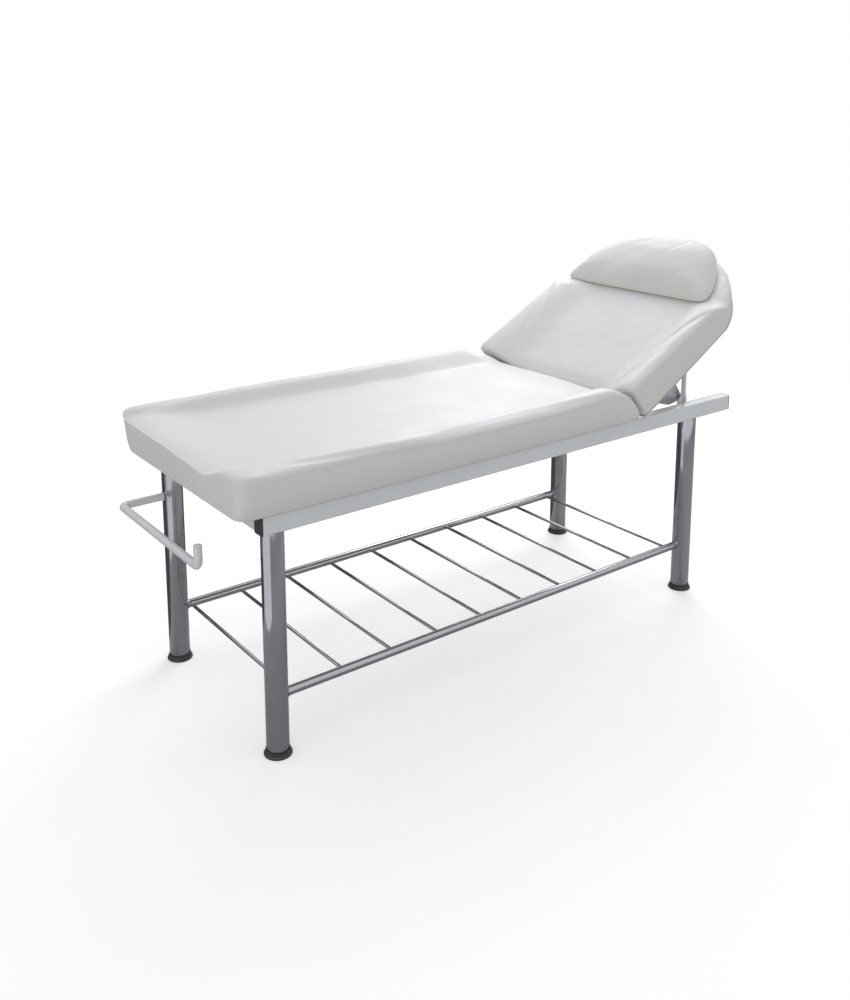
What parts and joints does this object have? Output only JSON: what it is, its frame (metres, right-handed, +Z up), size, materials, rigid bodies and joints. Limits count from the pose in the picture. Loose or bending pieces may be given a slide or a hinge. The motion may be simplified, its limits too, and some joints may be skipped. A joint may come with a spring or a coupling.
{
  "type": "massage table",
  "caption": "Padded treatment table with a propped tilting head section, a loose head pillow, chrome legs, a rod shelf and a paper-roll holder.",
  "frame": {"origin": "on the floor, under the middle of the whole object's box with the head section raised", "axes": "+X from the foot end to the head end, +Y towards the lying person's right side, +Z up"},
  "size_m": [1.8834, 0.669, 1.0479],
  "materials": {
    "chrome": "polished chrome plate",
    "white_paint": "smooth white powder coat",
    "black_plastic": "matt black moulded plastic",
    "zinc_steel": "zinc-plated pressed steel",
    "white_leatherette": "white leatherette with a fine grain, over foam",
    "pillow_leatherette": "white leatherette with a fine grain, over soft filling",
    "plywood": "sanded birch plywood"
  },
  "bodies": {
    "frame": {"base_board": "plywood", "base_cushion": "white_leatherette", "foot_cross_rail": "white_paint", "foot_pad_foot_left": "black_plastic", "foot_pad_foot_right": "black_plastic", "foot_pad_head_left": "black_plastic", "foot_pad_head_right": "black_plastic", "hinge_cross_rail": "zinc_steel", "hinge_leaf_base_left": "zinc_steel", "hinge_leaf_base_right": "zinc_steel", "hinge_pin_left": "zinc_steel", "hinge_pin_right": "zinc_steel", "leg_bolt_foot_left": "zinc_steel", "leg_bolt_foot_right": "zinc_steel", "leg_bolt_head_left": "zinc_steel", "leg_bolt_head_right": "zinc_steel", "leg_foot_left": "chrome", "leg_foot_right": "chrome", "leg_head_left": "chrome", "leg_head_right": "chrome", "leg_plug_foot_left": "zinc_steel", "leg_plug_foot_right": "zinc_steel", "leg_plug_head_left": "zinc_steel", "leg_plug_head_right": "zinc_steel", "middle_cross_rail": "white_paint", "rack_left": "white_paint", "rack_right": "white_paint", "rail_cap_foot_left": "black_plastic", "rail_cap_foot_right": "black_plastic", "rail_cap_head_left": "black_plastic", "rail_cap_head_right": "black_plastic", "roll_holder": "white_paint", "roll_holder_cap": "white_paint", "shelf_rod_1": "chrome", "shelf_rod_10": "chrome", "shelf_rod_2": "chrome", "shelf_rod_3": "chrome", "shelf_rod_4": "chrome", "shelf_rod_5": "chrome", "shelf_rod_6": "chrome", "shelf_rod_7": "chrome", "shelf_rod_8": "chrome", "shelf_rod_9": "chrome", "shelf_tube_left": "chrome", "shelf_tube_right": "chrome", "side_rail_left": "white_paint", "side_rail_right": "white_paint"},
    "head_section": {"back_board": "plywood", "back_cushion": "white_leatherette", "hinge_leaf_back_left": "zinc_steel", "hinge_leaf_back_right": "zinc_steel", "stay_bolt_left": "zinc_steel", "stay_bolt_right": "zinc_steel", "stay_bracket_left": "zinc_steel", "stay_bracket_right": "zinc_steel", "stay_stop_left": "zinc_steel", "stay_stop_right": "zinc_steel"},
    "stay": {"stay": "white_paint"},
    "pillow": {"pillow": "pillow_leatherette"}
  },
  "joints": [
    {"name": "backrest_tilt", "type": "hinge", "parent": "frame", "child": "head_section", "pos_m": [0.36431, 0, 0.5905], "axis": [0, -1, 0], "range_deg": [-31, 0]},
    {"name": "stay_swing", "type": "hinge", "parent": "head_section", "child": "stay", "pos_m": [0.63792, 0, 0.74091], "axis": [0, -1, 0], "range_deg": [0, 121]},
    {"name": "pillow_lift", "type": "slide", "parent": "head_section", "child": "pillow", "axis": [-0.515, 0, 0.8572], "range_m": [0, 0.12]}
  ],
  "couplings": [
    {"joint": "stay_swing", "follows": "backrest_tilt", "ratio": -3.9032}
  ]
}
